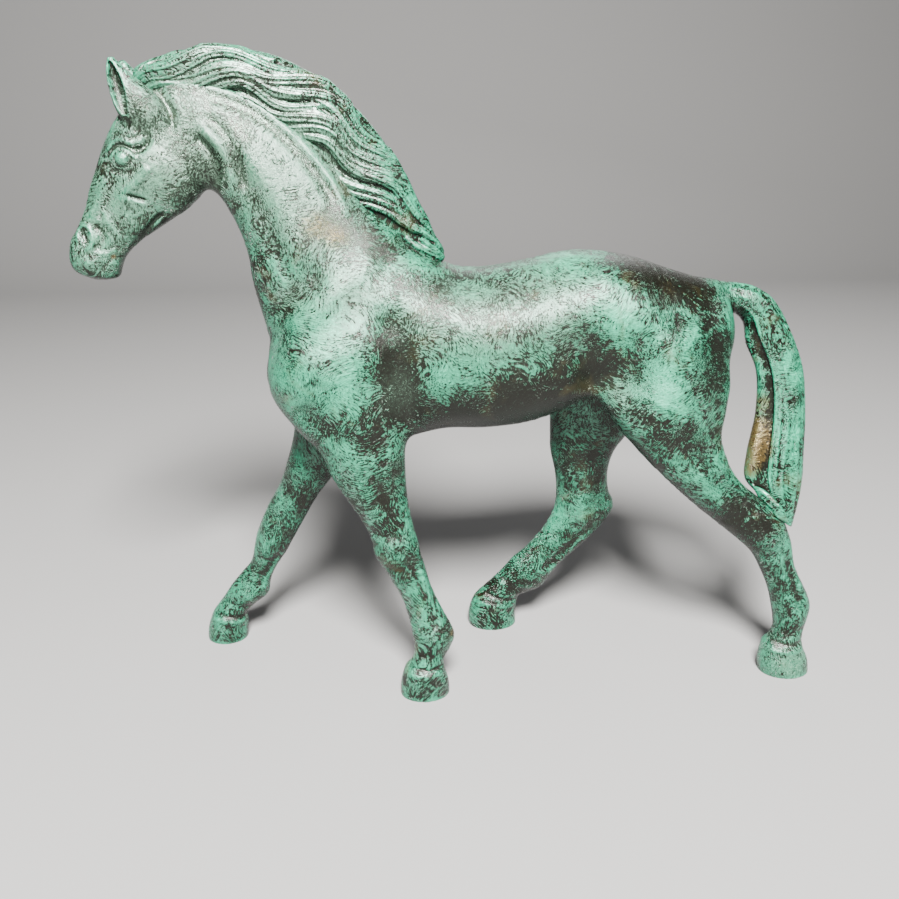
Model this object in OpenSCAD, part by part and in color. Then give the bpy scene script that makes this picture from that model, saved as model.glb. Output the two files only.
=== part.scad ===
// Walking horse, a statuette of hollow bronze castings joined on dowels, sleeves and rivets.
// The horse faces -X, its near (left) side faces -Y and its hooves stand on z = 0.
// Body forms are lofts. A section is [x1, z1, x2, z2, y, w]: a line across the form in side view,
// with the y of its middle and its half width. Seen from the near side, the next section lies to the
// right of that line as it runs from its first point to its second.
// Section x counts from the plumb line through the withers.

/* [Horse] */
// Length of the horse over all, as a share of the modelled length
size = 1.0; // [0.9:0.05:1.1]
// Wall of the hollow castings
wall = 4; // [3:0.5:5]

/* [Joints] */
// Radius of the dowels between the body and the legs
leg_dowel_r = 3; // [2:0.5:4]
// Length of a leg dowel
leg_dowel_l = 22; // [16:2:26]
// Radius of the dowel in the tail root
tail_dowel_r = 2; // [1.5:0.25:2.5]
// Length of the dowel in the tail root
tail_dowel_l = 14; // [10:1:16]
// Radius of the rivets and small pins
pin_r = 1.2; // [1:0.1:1.5]
// Length of the small pins that hold the ears, the mane and the tail's tip
pin_l = 9; // [7:0.5:10]
// Radial play of pins and sleeves before brazing
play = 0.08; // [0.05:0.01:0.1]
// Radius of the plug in the core vent
vent_r = 5; // [4:0.5:6]

/* [Hidden] */

// The middle of the horse lies this far behind the withers, and the origin is under it.
origin_x = 8.92;
// Facets round a body, a neck or head, and a limb.
round_body = 20;
round_neck = 20;
round_limb = 16;
round_ear = 12;
// Rings made between one section and the next.
steps = 2;

// Wall of the sleeves, and how far the rivet heads are sunk below the skin, which is filled over them.
sleeve_wall = 2.5;
rivet_sunk = 2;
// Belly vent, and how far its plug reaches below and above that height, inside the wall.
vent_x = 30;
vent_z = 127;
vent_low = 0.3;
vent_high = 3.2;
// Chaplet holes of the flanks, and how far their plugs stay back from each face of the wall.
chaplet_x = [0, 40];
chaplet_y = 30.5;
chaplet_z = 172;
chaplet_filed = 0.2;
// How far a hole runs past each face of the wall.
hole_over = 3;
// Sections of the mane that carry a pin, and how far out from the crest the pin's middle lies.
crest_pin_rows = [4, 6, 8];
crest_pin_out = 2;
ear_joint = 1;
// Middle of the pin between the tail's tip and the back of the near hock, and its way into the hock.
tip_pin_at = [162.5, -25, 80];
tip_pin_along = [-2, 0, -1];

patina = [0.28, 0.50, 0.40];
raw_bronze = [0.55, 0.42, 0.25];

// Barrel, from the breast to the buttocks.
barrel = [
    [-80.5, 150, -80.5, 157, 0, 5],
    [-78.5, 142, -78.5, 167, 0, 16],
    [-72, 132, -72, 178, 0, 25],
    [-61, 122, -60, 188, 0, 30],
    [-43, 117.5, -43, 197, 0, 32.5],
    [-22, 120, -22, 203, 0, 33],
    [0, 125, 0, 202, 0, 33.5],
    [20, 125, 20, 201, 0, 34.5],
    [40, 127, 40, 204, 0, 35],
    [57, 132.5, 57, 207.5, 0, 34.5],
    [72, 139, 72, 208, 0, 35.5],
    [90, 137, 90, 205, 0, 37],
    [107, 133, 107, 199.5, 0, 36],
    [121, 135, 121, 195, 0, 32],
    [132, 145, 132, 191, 0, 22],
    [138, 154, 138, 182, 0, 13],
    [141, 161, 141, 173, 0, 5]
];

// Neck, from inside the withers to the poll.
neck = [
    [4, 188, -64, 150, 0, 26],
    [-4, 205, -75, 167, 0, 26],
    [-18, 217, -81.3, 181, 0, 22],
    [-34, 233, -84, 190, 0, 19],
    [-46, 249, -85.6, 198.5, 0, 16.5],
    [-59, 263, -86.6, 207.5, 0, 15],
    [-75, 275, -89, 217, 0, 14],
    [-92, 282, -93, 226.4, 0, 12.5],
    [-108, 285, -98, 234.6, 0, 11.5],
    [-121, 282, -106, 240, 0, 11],
    [-129, 277, -115, 246, 0, 8]
];
// Sections where the neck casting starts and ends.
neck_base = 2;
poll = 8;

// Skull, from the poll to the lips.
skull = [
    [-134, 274, -114, 272, 0, 8],
    [-141, 264, -105, 258, 0, 12.5],
    [-146, 254, -101.5, 248, 0, 14.5],
    [-150, 244, -103.3, 238, 0, 14],
    [-152.8, 237, -110.8, 229.7, 0, 12.5],
    [-155.3, 229, -120.8, 223, 0, 11],
    [-158.8, 222, -131.3, 216.3, 0, 9.5],
    [-162.8, 215.5, -138.3, 210.2, 0, 9.5],
    [-164.3, 208, -141.6, 205, 0, 9.5],
    [-162, 202.5, -143.5, 199.5, 0, 8],
    [-156, 199.3, -148, 198.3, 0, 4]
];

// One ear, at y = 0, from inside the skull to the tip.
ear = [
    [-120, 264, -136, 262, 0, 4.5],
    [-120, 271, -137.5, 269, 0, 5.5],
    [-124.5, 279, -138.8, 277, 0, 5],
    [-132.5, 286, -139.8, 285, 0, 3.2],
    [-138.6, 292.6, -140.4, 292, 0, 1]
];
ear_y = 8.5;

// Mane, from the forelock to the withers, each section from the crest outwards.
mane = [
    [-126, 278.5, -130, 287, 0, 2.5],
    [-119, 278, -121, 293, 0, 5],
    [-107, 279, -107, 296.8, 0, 6.5],
    [-94, 276, -90, 298.2, 0, 7.5],
    [-81, 270, -71.2, 296.1, 0, 8],
    [-69, 261, -53.4, 288.2, 0, 8.5],
    [-58, 250, -38, 277, 0, 8.5],
    [-49, 239, -26, 264, 0, 8.5],
    [-40, 228, -15.5, 247.5, 0, 8.5],
    [-29, 217, -7, 231, 0, 8],
    [-18, 208, -0.8, 216.5, 0, 7],
    [-9, 203.2, 1.8, 207.2, 0, 3.5]
];

// Legs, from inside the body to the sole. The joint to the body is at section leg_joint.
near_fore = [
    [-72, 154, -20, 158, -14, 12.5],
    [-66, 134, -17, 138, -19, 14.5],
    [-57, 120, -18.5, 122, -19.5, 13.5],
    [-52, 108, -18.5, 108, -20.5, 12],
    [-44.5, 96, -17.5, 95, -22, 10.5],
    [-38, 85, -15.5, 84, -22.8, 9.2],
    [-34.8, 77, -13.4, 76, -23.5, 8.8],
    [-33.4, 70, -12, 69.5, -24, 8.8],
    [-27.5, 60, -9.4, 60, -25, 7.2],
    [-22, 50, -6.4, 51, -25.8, 6],
    [-19, 41, -2.4, 42, -26.6, 6.2],
    [-17, 31.5, 3.2, 30, -27.6, 7.5],
    [-15.8, 24, 1.6, 23.5, -28.2, 7.2],
    [-16.5, 18, -1.4, 18, -28.8, 7],
    [-20.5, 13, -1.4, 12.5, -29.3, 8.8],
    [-22.4, 6, 0.4, 6, -30, 9.3],
    [-22.6, 0, 0.8, 0, -30, 9.4]
];
off_fore = [
    [-70, 154, -26, 158, 14, 12.5],
    [-71, 134, -28, 134, 18, 14.5],
    [-71.5, 118, -41, 110, 19.5, 13.5],
    [-75.3, 103, -52, 95, 20.5, 12],
    [-80, 89, -60.8, 83, 22, 10.2],
    [-86.5, 77, -67, 72, 23.5, 9.3],
    [-92.5, 63, -74.5, 58, 25, 8.8],
    [-94.8, 54, -78.5, 50.5, 25.8, 8.4],
    [-97, 45, -84, 42, 26.6, 6.5],
    [-102, 38.5, -87.5, 34, 27.3, 6.3],
    [-108, 31, -89.2, 26, 28, 7.5],
    [-111.5, 25.5, -95.5, 20.5, 28.6, 7],
    [-115, 20.5, -100.5, 15.5, 29.2, 7],
    [-119, 14.5, -100.8, 11.5, 29.8, 8.8],
    [-121.8, 6, -101, 6, 30.2, 9.2],
    [-122.2, 0, -101.4, 0, 30.3, 9.2]
];
near_hind = [
    [80, 168, 124, 172, -14, 15],
    [72, 148, 133, 153, -20, 17],
    [78, 133, 131.5, 137, -23, 15.5],
    [90, 117.5, 129.5, 124, -24.5, 13.5],
    [102, 105, 133, 112, -25.5, 12],
    [116, 92, 139.3, 101.5, -26.3, 10],
    [129, 81, 149.5, 92.5, -27, 8.5],
    [140, 72, 160.5, 84, -27.5, 8],
    [148.4, 64, 167, 71, -27.8, 7.3],
    [153.8, 54.5, 170.3, 57, -28, 6],
    [158.2, 45, 175.6, 46.5, -28.2, 6],
    [161, 35, 180.2, 36, -28.5, 7],
    [162.8, 26, 179, 27, -28.8, 7],
    [162.3, 20.5, 177.6, 20, -29, 6.6],
    [158.2, 14.5, 178, 13.5, -29.2, 8.4],
    [156.3, 7, 181, 6.5, -29.5, 9.6],
    [157, 0, 182, 0, -29.6, 9.8]
];
off_hind = [
    [72, 168, 120, 172, 14, 15],
    [62, 148, 118, 148, 19, 17],
    [58, 130, 110, 128, 20.5, 15],
    [58.2, 115, 101, 113, 21.5, 13],
    [59, 102, 93, 101.5, 22.5, 11.5],
    [61.8, 90, 90, 90, 23.2, 10],
    [63.2, 79, 90.8, 79, 24, 9],
    [62.4, 67.5, 94, 67.5, 24.8, 8.6],
    [57.2, 56, 84, 52.5, 25.8, 8],
    [48.2, 45, 70, 38.5, 26.8, 6.8],
    [41.2, 38.5, 62, 28.8, 27.6, 7.2],
    [36.5, 32.5, 56, 21, 28.2, 7.4],
    [29.5, 25, 46, 17, 28.8, 7],
    [20.8, 16, 44, 12.5, 29.5, 9],
    [17.6, 6.5, 43.2, 6, 29.6, 9.6],
    [18, 0, 43.6, 0, 29.7, 9.7]
];
legs = [near_fore, off_fore, near_hind, off_hind];
leg_joint = [3, 3, 4, 4];

// Tail, from inside the rump to its tip on the near hock, each section from its inner to its outer side.
tail = [
    [124, 177, 122, 192, 0, 8],
    [132, 178, 130, 192.5, 0, 8],
    [142, 176.8, 139.5, 191.9, 0, 7.5],
    [146.6, 171.8, 151, 189.5, -2, 7.5],
    [148, 162, 162, 180, -4, 8],
    [152.4, 149, 173.6, 154, -8, 8],
    [152, 130, 175.8, 131, -12, 8.5],
    [147, 111, 174.8, 110, -17, 8],
    [145.8, 99, 174, 96, -20, 7],
    [153.5, 90, 171.5, 84, -22.5, 5.5],
    [163, 79, 169, 75, -24.5, 3]
];
tail_joint = 2;

// A point of a Catmull-Rom spline through a list of rows, at share t between rows i and i + 1.
function row_at(rows, i) = rows[max(0, min(len(rows) - 1, i))];
function spline(rows, i, t) =
    let (
        a = row_at(rows, i - 1),
        b = row_at(rows, i),
        c = row_at(rows, i + 1),
        d = row_at(rows, i + 2)
    )
    0.5 * (2 * b + (c - a) * t + (2 * a - 5 * b + 4 * c - d) * t * t + (3 * b - a - 3 * c + d) * t * t * t);

// The faired sections from row first to row last, both included.
function fair(rows, first, last) = [
    for (i = [first : last - 1], k = [0 : steps - 1]) spline(rows, i, k / steps),
    rows[last]
];

// A section made smaller all round by a wall thickness.
function inset(s, by) =
    let (
        dx = s[2] - s[0],
        dz = s[3] - s[1],
        cut = by / max(1, norm([dx, dz]))
    )
    [s[0] + dx * cut, s[1] + dz * cut, s[2] - dx * cut, s[3] - dz * cut, s[4], max(0.5, s[5] - by)];
function inset_all(rows, by) = [for (s = rows) inset(s, by)];

// The middle of a section, and the direction square to it in side view.
function middle(s) = [(s[0] + s[2]) / 2, s[4], (s[1] + s[3]) / 2];
function across(s) = let (d = [s[2] - s[0], s[3] - s[1]]) d / norm(d);
function onward(s) = let (d = across(s)) [d[1], 0, -d[0]];
// A section moved square to itself.
function shifted(s, by) = let (n = onward(s)) s + by * [n[0], n[2], n[0], n[2], 0, 0];

// Points round a section, turned by a share of one step.
function ring(s, around, turn) = [
    for (k = [0 : around - 1])
        let (
            a = 360 * (k + turn) / around,
            m = middle(s)
        )
        [m[0] + (s[0] - s[2]) / 2 * cos(a), m[1] + s[5] * sin(a), m[2] + (s[1] - s[3]) / 2 * cos(a)]
];

// A closed solid through elliptical rings, one on each section.
module loft(sections, around, turn = 0) {
    rings = len(sections);
    polyhedron(
        points = [for (s = sections) each ring(s, around, turn)],
        faces = [
            [for (k = [0 : around - 1]) k],
            for (i = [0 : rings - 2], k = [0 : around - 1])
                let (
                    j = (k + 1) % around,
                    here = i * around,
                    next = here + around
                )
                each [[here + k, next + k, here + j], [here + j, next + k, next + j]],
            [for (k = [around - 1 : -1 : 0]) (rings - 1) * around + k]
        ],
        convexity = 6
    );
}

// Moves a part from the withers' plumb line to the row frame, at the chosen size.
module placed() {
    scale(size) translate([-origin_x, 0, 0]) children();
}

// A round pin through point p along direction d, reaching back behind p and ahead of it.
module pin(p, d, r, back, ahead) {
    lean = acos(d[2] / norm(d));
    turn = atan2(d[1], d[0]);
    translate(p) rotate([0, lean, turn]) translate([0, 0, -back]) cylinder(r = r, h = back + ahead, $fn = 32);
}

// Barrel, its cavity, and the pieces of neck, leg and tail.
module trunk() loft(fair(barrel, 0, len(barrel) - 1), round_body, 0.5);
module trunk_cavity() loft(inset_all(fair(barrel, 1, len(barrel) - 2), wall), round_limb, 0.5);
module neck_piece(first, last) loft(fair(neck, first, last), round_neck);
module neck_cavity(first, last, over_first, over_last) {
    rows = inset_all(fair(neck, first, last), wall);
    end = len(rows) - 1;
    loft([
        if (over_first > 0) shifted(rows[0], -over_first),
        each rows,
        if (over_last > 0) shifted(rows[end], over_last)
    ], round_neck);
}
module leg_piece(i, first, last) loft(fair(legs[i], first, last), round_limb);
module tail_piece(first, last) loft(fair(tail, first, last), round_limb);
module ear_piece(side, first, last) {
    translate([0, side * ear_y, 0]) loft(fair(ear, first, last), round_ear);
}

// Sleeve across a joint of the neck, half a section to each side, and its rivets.
function sleeve_rows(i) = [spline(neck, i - 1, 0.5), neck[i], spline(neck, i, 0.5)];
module sleeve(i) {
    rows = sleeve_rows(i);
    inner = inset_all(rows, wall + play + sleeve_wall);
    color(raw_bronze) difference() {
        loft(inset_all(rows, wall + play), round_neck);
        loft([shifted(inner[0], -1), each inner, shifted(inner[2], 1)], round_neck);
        rivets(i, pin_r + play, 1);
    }
}
module rivets(i, r, extra) {
    rows = sleeve_rows(i);
    for (k = [0, 2], side = [-1, 1]) {
        s = (rows[1] + rows[k]) / 2;
        skin = middle(s) + [0, side * s[5], 0];
        pin(skin, [0, side, 0], r, wall + play + sleeve_wall + extra, extra - rivet_sunk);
    }
}

module leg_dowel(i, r, extra) {
    s = legs[i][leg_joint[i]];
    half = leg_dowel_l / 2 + extra;
    pin(middle(s), onward(s), r, half, half);
}
module root_dowel(r, extra) {
    s = tail[tail_joint];
    half = tail_dowel_l / 2 + extra;
    pin(middle(s), onward(s), r, half, half);
}

// Small pins: three in the crest, one in each ear, one between the tail's tip and the hock.
module crest_pins(r, extra) {
    for (i = crest_pin_rows) {
        s = mane[i];
        d = [s[2] - s[0], 0, s[3] - s[1]];
        half = pin_l / 2 + extra;
        pin([s[0], 0, s[1]] + d / norm(d) * crest_pin_out, d, r, half, half);
    }
}
module ear_pin(side, r, extra) {
    half = pin_l / 2 + extra;
    s = ear[ear_joint];
    pin(middle(s) + [0, side * ear_y, 0], onward(s), r, half, half);
}
module tip_pin(r, extra) {
    half = pin_l / 2 + extra;
    pin(tip_pin_at, tip_pin_along, r, half, half);
}

// Vent plug of the belly and the chaplet plugs of the flanks.
module plug(r, low, high) {
    translate([vent_x, 0, vent_z - low]) cylinder(r = r, h = low + high, $fn = 48);
}
module chaplets(r, extra) {
    for (x = chaplet_x, side = [-1, 1]) {
        pin([x, side * chaplet_y, chaplet_z], [0, side, 0], r, wall / 2 + extra, wall / 2 + extra);
    }
}

module body_casting() {
    color(patina) difference() {
        union() {
            trunk();
            neck_piece(0, neck_base);
            for (i = [0 : 3]) leg_piece(i, 0, leg_joint[i]);
            tail_piece(0, tail_joint);
        }
        trunk_cavity();
        neck_cavity(0, neck_base, 0, 1);
        rivets(neck_base, pin_r + play, 1);
        for (i = [0 : 3]) leg_dowel(i, leg_dowel_r + play, play);
        root_dowel(tail_dowel_r + play, play);
        plug(vent_r + play, hole_over, wall + hole_over);
        chaplets(pin_r + play, hole_over);
    }
}

module neck_casting() {
    color(patina) difference() {
        neck_piece(neck_base, poll);
        neck_cavity(neck_base, poll, 1, 1);
        rivets(neck_base, pin_r + play, 1);
        rivets(poll, pin_r + play, 1);
        crest_pins(pin_r + play, play);
    }
}

module head_casting() {
    color(patina) difference() {
        union() {
            neck_piece(poll, len(neck) - 1);
            loft(fair(skull, 0, len(skull) - 1), round_neck, 0.5);
            for (side = [-1, 1]) ear_piece(side, 0, ear_joint);
        }
        neck_cavity(poll, len(neck) - 2, 1, 0);
        rivets(poll, pin_r + play, 1);
        for (side = [-1, 1]) ear_pin(side, pin_r + play, play);
    }
}

module ear_casting(side) {
    color(patina) difference() {
        ear_piece(side, ear_joint, len(ear) - 1);
        ear_pin(side, pin_r + play, play);
    }
}

module mane_casting() {
    color(patina) difference() {
        loft(fair(mane, 0, len(mane) - 1), round_limb, 0.5);
        neck_piece(0, len(neck) - 1);
        crest_pins(pin_r + play, play);
    }
}

module leg(i) {
    color(patina) difference() {
        leg_piece(i, leg_joint[i], len(legs[i]) - 1);
        leg_dowel(i, leg_dowel_r + play, play);
        if (i == 2) tip_pin(pin_r + play, play);
    }
}

module tail_casting() {
    color(patina) difference() {
        tail_piece(tail_joint, len(tail) - 1);
        leg_piece(2, leg_joint[2], len(near_hind) - 1);
        root_dowel(tail_dowel_r + play, play);
        tip_pin(pin_r + play, play);
    }
}

module leg_dowels() {
    color(raw_bronze) for (i = [0 : 3]) leg_dowel(i, leg_dowel_r, 0);
}

module sleeve_rivets() {
    color(raw_bronze) {
        rivets(neck_base, pin_r, 0);
        rivets(poll, pin_r, 0);
    }
}

module small_pins() {
    color(raw_bronze) {
        crest_pins(pin_r, 0);
        for (side = [-1, 1]) ear_pin(side, pin_r, 0);
        tip_pin(pin_r, 0);
    }
}

placed() body_casting();
placed() neck_casting();
placed() head_casting();
placed() ear_casting(-1);  // near_ear
placed() ear_casting(1);  // off_ear
placed() mane_casting();
placed() leg(0);  // near_fore_leg
placed() leg(1);  // off_fore_leg
placed() leg(2);  // near_hind_leg
placed() leg(3);  // off_hind_leg
placed() tail_casting();
placed() sleeve(neck_base);  // neck_sleeve
placed() sleeve(poll);  // poll_sleeve
placed() sleeve_rivets();
placed() leg_dowels();
placed() color(raw_bronze) root_dowel(tail_dowel_r, 0);  // tail_dowel
placed() small_pins();
placed() color(raw_bronze) plug(vent_r, vent_low, vent_high);  // vent_plug
placed() color(raw_bronze) chaplets(pin_r, -chaplet_filed);  // chaplet_plugs
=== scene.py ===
import math
import bmesh
import bpy
import numpy as np
import openvdb
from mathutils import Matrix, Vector


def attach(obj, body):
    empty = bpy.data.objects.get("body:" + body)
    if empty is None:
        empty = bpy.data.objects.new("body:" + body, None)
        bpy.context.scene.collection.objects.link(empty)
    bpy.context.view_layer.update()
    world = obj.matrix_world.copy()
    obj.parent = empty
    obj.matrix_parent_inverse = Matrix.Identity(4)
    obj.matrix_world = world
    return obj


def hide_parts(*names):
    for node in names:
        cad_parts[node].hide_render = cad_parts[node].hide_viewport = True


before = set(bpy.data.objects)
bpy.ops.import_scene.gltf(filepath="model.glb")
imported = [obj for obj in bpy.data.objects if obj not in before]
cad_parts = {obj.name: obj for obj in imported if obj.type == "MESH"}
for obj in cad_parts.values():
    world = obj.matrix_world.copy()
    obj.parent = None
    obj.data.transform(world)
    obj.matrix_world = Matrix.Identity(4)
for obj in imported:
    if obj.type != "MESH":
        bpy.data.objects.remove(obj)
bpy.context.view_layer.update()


# Camera, table and light.
# The horse is seen from its near side, a little from in front and above, at arm's length.
def set_out(name, data):
    ob = bpy.data.objects.new(name, data)
    bpy.context.collection.objects.link(ob)
    return ob


camera_data = bpy.data.cameras.new("camera")
camera_data.sensor_width = 36.0
camera_data.lens = 36.04
camera_data.shift_y = -0.0996
camera_data.clip_start = 0.01
camera = set_out("camera", camera_data)
camera.location = (-0.04803, -0.41017, 0.26366)
camera.rotation_euler = (math.radians(75.5), 0.0, math.radians(-6.0))
bpy.context.scene.camera = camera


def softbox(name, stand, aim, across, watts, tint):
    lamp = bpy.data.lights.new(name, "AREA")
    lamp.shape = "DISK"
    lamp.size = across
    lamp.energy = watts
    lamp.color = tint
    ob = set_out(name, lamp)
    ob.location = stand
    ob.rotation_euler = (Vector(aim) - Vector(stand)).to_track_quat("-Z", "Y").to_euler()


softbox("key softbox", (-0.05, -0.82, 1.05), (0.0, 0.0, 0.14), 0.40, 215.0, (1.0, 0.985, 0.96))
softbox("side softbox", (1.1, -0.6, 0.6), (0.0, 0.0, 0.14), 0.8, 4.0, (0.95, 0.98, 1.0))
softbox("back softbox", (0.3, 1.1, 0.9), (0.0, 0.0, 0.15), 0.9, 7.0, (1.0, 1.0, 1.0))

sky = bpy.data.worlds.new("studio")
bpy.context.scene.world = sky
sky.use_nodes = True
glow = sky.node_tree.nodes["Background"].inputs
glow["Color"].default_value = (0.90, 0.93, 0.95, 1.0)
glow["Strength"].default_value = 0.05

sweep = bmesh.new()
near, deep, wide, high, turn_r = -1.4, 1.6, 2.4, 1.8, 0.5
turn_steps = 12
profile = [(near, 0.0), (deep - turn_r, 0.0)]
for k in range(1, turn_steps + 1):
    a = math.radians(90.0 * k / turn_steps)
    profile.append((deep - turn_r + turn_r * math.sin(a), turn_r - turn_r * math.cos(a)))
profile.append((deep, high))
rails = [[sweep.verts.new((x, y, z)) for y, z in profile] for x in (-wide, wide)]
for left_a, left_b, right_a, right_b in zip(rails[0], rails[0][1:], rails[1], rails[1][1:]):
    sweep.faces.new((left_a, right_a, right_b, left_b)).smooth = True
table_mesh = bpy.data.meshes.new("studio table")
sweep.to_mesh(table_mesh)
table = set_out("studio_table", table_mesh)
pale = bpy.data.materials.new("pale paper")
pale.use_nodes = True
paper = pale.node_tree.nodes["Principled BSDF"].inputs
paper["Base Color"].default_value = (0.140, 0.139, 0.137, 1.0)
paper["Roughness"].default_value = 0.8
table_mesh.materials.append(pale)


# Body casting.
# A hollow cast shell of statuary bronze: barrel, shoulders, croup, and the stubs that the neck,
# the legs and the tail are brazed to. It carries the muscle modelling of the clay original.
mm = 0.001
# x is measured from the withers, which stand this far from the middle of the footprint.
withers_x = -8.92

# A row is [x1, z1, x2, z2, y, w]: a line across the form in side view, the y of its middle, half its width.
barrel = [
    [-80.5, 150, -80.5, 157, 0, 5],
    [-78.5, 142, -78.5, 167, 0, 16],
    [-72, 132, -72, 178, 0, 25],
    [-61, 122, -60, 188, 0, 30],
    [-43, 117.5, -43, 197, 0, 31.5],
    [-22, 120, -22, 203, 0, 31.5],
    [0, 125, 0, 202, 0, 33],
    [20, 125, 20, 201, 0, 34.5],
    [40, 127, 40, 204, 0, 34.5],
    [57, 132.5, 57, 207.5, 0, 33],
    [72, 139, 72, 208, 0, 33],
    [90, 137, 90, 205, 0, 33],
    [107, 133, 107, 199.5, 0, 31],
    [121, 135, 121, 195, 0, 27],
    [132, 145, 132, 191, 0, 21],
    [138, 154, 138, 182, 0, 12.5],
    [141, 161, 141, 173, 0, 5],
]
neck = [
    [4, 188, -64, 150, 0, 25],
    [-4, 205, -75, 167, 0, 25],
    [-18, 217, -81.3, 181, 0, 21],
    [-34, 233, -84, 190, 0, 18],
    [-46, 249, -85.6, 198.5, 0, 16],
    [-59, 263, -86.6, 207.5, 0, 14.5],
    [-75, 275, -89, 217, 0, 13.5],
    [-92, 282, -93, 226.4, 0, 12.5],
    [-108, 285, -98, 234.6, 0, 11.5],
    [-121, 282, -106, 240, 0, 11],
    [-129, 277, -115, 246, 0, 8],
]
skull = [
    [-134, 274, -114, 272, 0, 8],
    [-141, 264, -105, 258, 0, 11.5],
    [-146, 254, -101.5, 248, 0, 13.2],
    [-150, 244, -103.3, 238, 0, 12.6],
    [-152.8, 237, -110.8, 229.7, 0, 11],
    [-155.3, 229, -120.8, 223, 0, 9.6],
    [-158.8, 222, -131.3, 216.3, 0, 8.6],
    [-162.5, 215.5, -138.3, 210.2, 0, 8.8],
    [-163.8, 208, -141.6, 205, 0, 8.6],
    [-162, 202.5, -143.5, 199.5, 0, 7],
    [-156, 199.3, -148, 198.3, 0, 4],
]
near_fore = [
    [-72, 154, -20, 158, -14, 13.5],
    [-66, 134, -17, 138, -19, 14],
    [-57, 120, -18.5, 122, -19.5, 13],
    [-52, 108, -18.5, 108, -20.5, 11.5],
    [-44.5, 96, -17.5, 95, -22, 10],
    [-38, 85, -15.5, 84, -22.8, 8.8],
    [-34.8, 77, -13.4, 76, -23.5, 8.6],
    [-33.4, 70, -12, 69.5, -24, 8.6],
    [-27.5, 60, -9.4, 60, -25, 7],
    [-22, 50, -6.4, 51, -25.8, 5.8],
    [-19, 41, -2.4, 42, -26.6, 6],
    [-17, 31.5, 3.2, 30, -27.6, 7.4],
    [-15.8, 24, 1.6, 23.5, -28.2, 7],
    [-16.5, 18, -1.4, 18, -28.8, 6.8],
    [-20.5, 13, -1.4, 12.5, -29.3, 8.2],
    [-22.4, 6, 0.4, 6, -30, 8.9],
    [-22.6, 0, 0.8, 0, -30, 9.2],
]
off_fore = [
    [-70, 154, -26, 158, 14, 13.5],
    [-71, 134, -28, 134, 18, 14],
    [-71.5, 118, -41, 110, 19.5, 13],
    [-75.3, 103, -52, 95, 20.5, 11.5],
    [-80, 89, -60.8, 83, 22, 9.8],
    [-86.5, 77, -67, 72, 23.5, 9],
    [-92.5, 63, -74.5, 58, 25, 8.6],
    [-94.8, 54, -78.5, 50.5, 25.8, 8.2],
    [-97, 45, -84, 42, 26.6, 6.3],
    [-102, 38.5, -87.5, 34, 27.3, 6.2],
    [-108, 31, -89.2, 26, 28, 7.4],
    [-111.5, 25.5, -95.5, 20.5, 28.6, 6.9],
    [-115, 20.5, -100.5, 15.5, 29.2, 6.8],
    [-119, 14.5, -100.8, 11.5, 29.8, 8.4],
    [-121.8, 6, -101, 6, 30.2, 9.1],
    [-122.2, 0, -101.4, 0, 30.3, 9.2],
]
near_hind = [
    [80, 168, 124, 172, -14, 17],
    [72, 148, 133, 153, -20, 16.5],
    [78, 133, 131.5, 137, -23, 15],
    [90, 117.5, 129.5, 124, -24.5, 13],
    [102, 105, 133, 112, -25.5, 11.5],
    [116, 92, 139.3, 101.5, -26.3, 9.6],
    [129, 81, 149.5, 92.5, -27, 8.3],
    [140, 72, 160.5, 84, -27.5, 7.8],
    [148.4, 64, 167, 71, -27.8, 7.2],
    [153.8, 54.5, 170.3, 57, -28, 5.9],
    [158.2, 45, 175.6, 46.5, -28.2, 5.9],
    [161, 35, 180.2, 36, -28.5, 7],
    [162.8, 26, 179, 27, -28.8, 6.9],
    [162.3, 20.5, 177.6, 20, -29, 6.6],
    [158.2, 14.5, 178, 13.5, -29.2, 8.3],
    [156.3, 7, 181, 6.5, -29.5, 9.5],
    [157, 0, 182, 0, -29.6, 9.8],
]
off_hind = [
    [72, 168, 120, 172, 14, 17],
    [62, 148, 118, 148, 19, 16.5],
    [58, 130, 110, 128, 20.5, 14.5],
    [58.2, 115, 101, 113, 21.5, 12.5],
    [59, 102, 93, 101.5, 22.5, 11],
    [61.8, 90, 90, 90, 23.2, 9.7],
    [63.2, 79, 90.8, 79, 24, 8.8],
    [62.4, 67.5, 94, 67.5, 24.8, 8.4],
    [57.2, 56, 84, 52.5, 25.8, 7.8],
    [48.2, 45, 70, 38.5, 26.8, 6.6],
    [41.2, 38.5, 62, 28.8, 27.6, 7.1],
    [36.5, 32.5, 56, 21, 28.2, 7.4],
    [29.5, 25, 46, 17, 28.8, 6.9],
    [20.8, 16, 44, 12.5, 29.5, 8.6],
    [17.6, 6.5, 43.2, 6, 29.6, 9.5],
    [18, 0, 43.6, 0, 29.7, 9.7],
]
tail = [
    [124, 177, 122, 192, 0, 8],
    [132, 178, 130, 192.5, 0, 7.5],
    [142, 176.8, 139.5, 191.9, 0, 7.2],
    [146.6, 171.8, 151, 189.5, -2, 7],
    [148, 162, 162, 180, -4, 7],
    [152.4, 149, 173.6, 154, -8, 7],
    [152, 130, 175.8, 131, -12, 7.5],
    [147, 111, 174.8, 110, -17, 7.2],
    [145.8, 99, 174, 96, -20, 6.5],
    [153.5, 90, 171.5, 84, -22.5, 5.5],
    [163, 79, 169, 75, -24.5, 3],
]


def fair(rows, steps):
    """A Catmull-Rom curve through rows, steps points to each gap."""
    rows = np.array(rows, float)
    out = []
    for i in range(len(rows) - 1):
        a, b, c, d = (rows[min(max(j, 0), len(rows) - 1)] for j in (i - 1, i, i + 1, i + 2))
        for t in np.arange(steps) / steps:
            twice = 2 * b + (c - a) * t
            twice = twice + (2 * a - 5 * b + 4 * c - d) * t * t
            twice = twice + (3 * b - a - 3 * c + d) * t**3
            out.append(0.5 * twice)
    out.append(rows[-1])
    return np.array(out)


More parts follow.
